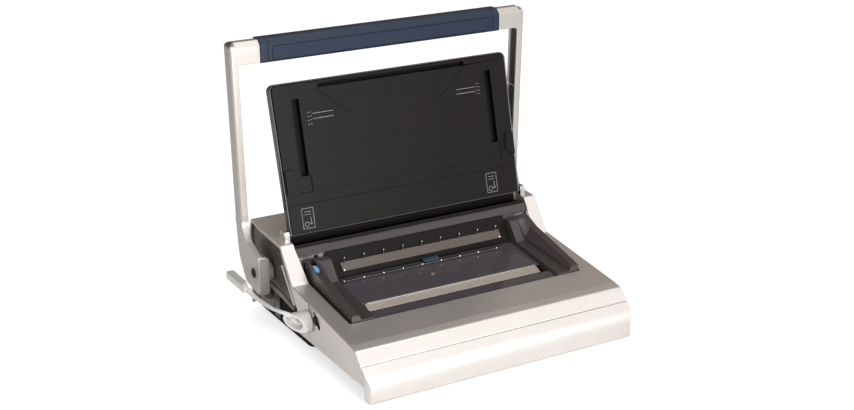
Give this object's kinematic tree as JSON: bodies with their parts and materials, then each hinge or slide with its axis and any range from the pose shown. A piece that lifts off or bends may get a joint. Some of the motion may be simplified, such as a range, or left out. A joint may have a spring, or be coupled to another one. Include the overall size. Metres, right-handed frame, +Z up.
{
  "type": "wire binding machine",
  "caption": "Desk wire-binding punch with a tall forward-folding handle frame, hinged paper-support lid, closer bar worked by a side lever and a pull-out chip drawer.",
  "frame": {"origin": "middle of the whole machine's box, on the table plane under the feet", "axes": "+X to the machine's right as its user faces it, +Y to its rear, +Z up; the lid stands open and the handle stands up at rest"},
  "size_m": [0.5082, 0.37, 0.4172],
  "materials": {
    "silver_shell": "satin silver-grey moulding",
    "dark_grey": "matt dark grey moulding",
    "black_plastic": "matt black moulding",
    "gloss_black": "polished black moulding",
    "grey_post": "matt mid grey",
    "rubber": "matt rubber",
    "steel_plate": "bare pressed or turned steel",
    "bronze": "sintered bearing metal",
    "brushed_strip": "brushed lengthwise",
    "bright_silver": "bright plated",
    "arm_silver": "satin silver casting",
    "grip_blue": "satin slate blue",
    "grip_pad": "fine matt slate blue",
    "white_plastic": "smooth off-white",
    "grey_pad": "matt ribbed pad",
    "chrome_bar": "polished edge, brushed face",
    "accent_blue": "smooth light blue"
  },
  "bodies": {
    "base": {"main_cover": "silver_shell", "left_side_panel": "dark_grey", "right_side_panel": "dark_grey", "base_pan": "black_plastic", "rubber_feet": "rubber", "side_posts": "grey_post", "drawer_runners": "black_plastic", "left_chassis_plate": "steel_plate", "right_chassis_plate": "steel_plate", "shaft_bushes": "bronze", "left_cheek": "black_plastic", "right_cheek": "black_plastic", "left_rail": "black_plastic", "right_rail": "black_plastic", "front_band": "black_plastic", "floor_panel": "gloss_black", "rear_wall": "black_plastic", "wire_strip": "brushed_strip", "throat_lip": "black_plastic", "throat_back": "steel_plate", "die_plate": "steel_plate", "guide_plate": "steel_plate", "paper_stop": "steel_plate", "hinge_ears": "bright_silver"},
    "handle": {"left_arm": "arm_silver", "right_arm": "arm_silver", "hub_collars": "black_plastic", "hub_screws": "bright_silver", "grip": "grip_blue", "grip_pad": "grip_pad", "grip_collars": "grip_blue", "grip_tube": "steel_plate", "cross_shaft": "steel_plate", "punch_cams": "steel_plate"},
    "punch": {"punch_bar": "steel_plate", "punch_pins": "steel_plate"},
    "lid": {"lid_shell": "gloss_black", "lid_panel": "black_plastic", "lid_hinge_pins": "bright_silver"},
    "drawer": {"chip_tray": "black_plastic", "drawer_front": "silver_shell"},
    "closer": {"closer_shaft": "steel_plate", "closer_cams": "steel_plate", "closer_knob": "white_plastic", "closer_lever": "white_plastic", "lever_pad": "grey_pad"},
    "presser": {"closer_bar": "chrome_bar", "closer_carriage": "steel_plate"},
    "size_button": {"size_button": "black_plastic"},
    "guide_wheel": {"guide_wheel": "accent_blue", "guide_spindle": "steel_plate"},
    "edge_guide": {"edge_guide": "black_plastic"},
    "panel_catch": {"panel_catch": "accent_blue"}
  },
  "joints": [
    {"name": "handle_hinge", "type": "hinge", "parent": "base", "child": "handle", "pos_m": [0.00987, 0.12, 0.086], "axis": [1, 0, 0], "range_deg": [0, 100]},
    {"name": "punch_slide", "type": "slide", "parent": "base", "child": "punch", "axis": [0, -0.9681, 0.2504], "range_m": [0, 0.008]},
    {"name": "lid_hinge", "type": "hinge", "parent": "base", "child": "lid", "pos_m": [0.00987, 0.0905, 0.146], "axis": [1, 0, 0], "range_deg": [0, 118]},
    {"name": "drawer_slide", "type": "slide", "parent": "base", "child": "drawer", "axis": [0, -1, 0], "range_m": [0, 0.15]},
    {"name": "closer_hinge", "type": "hinge", "parent": "base", "child": "closer", "pos_m": [0.00987, -0.0142, 0.0588], "axis": [1, 0, 0], "range_deg": [0, 95]},
    {"name": "presser_slide", "type": "slide", "parent": "base", "child": "presser", "axis": [0, -1, 0], "range_m": [0, 0.0068]},
    {"name": "size_slide", "type": "slide", "parent": "base", "child": "size_button", "axis": [0, 0.6794, 0.7337], "range_m": [-0.006, 0.006]},
    {"name": "wheel_spin", "type": "hinge", "parent": "base", "child": "guide_wheel", "pos_m": [-0.17013, 0.0375, 0.099], "axis": [1, 0, 0], "range_deg": [-360, 360]},
    {"name": "guide_slide", "type": "slide", "parent": "base", "child": "edge_guide", "axis": [1, 0, 0], "range_m": [-0.005, 0.005]},
    {"name": "catch_slide", "type": "slide", "parent": "base", "child": "panel_catch", "axis": [1, 0, 0], "range_m": [-0.01, 0.01]}
  ],
  "couplings": [
    {"joint": "punch_slide", "follows": "handle_hinge", "m_per_rad": 0.0045837},
    {"joint": "presser_slide", "follows": "closer_hinge", "m_per_rad": 0.0041012},
    {"joint": "guide_slide", "follows": "wheel_spin", "m_per_rad": 0.00079577}
  ]
}
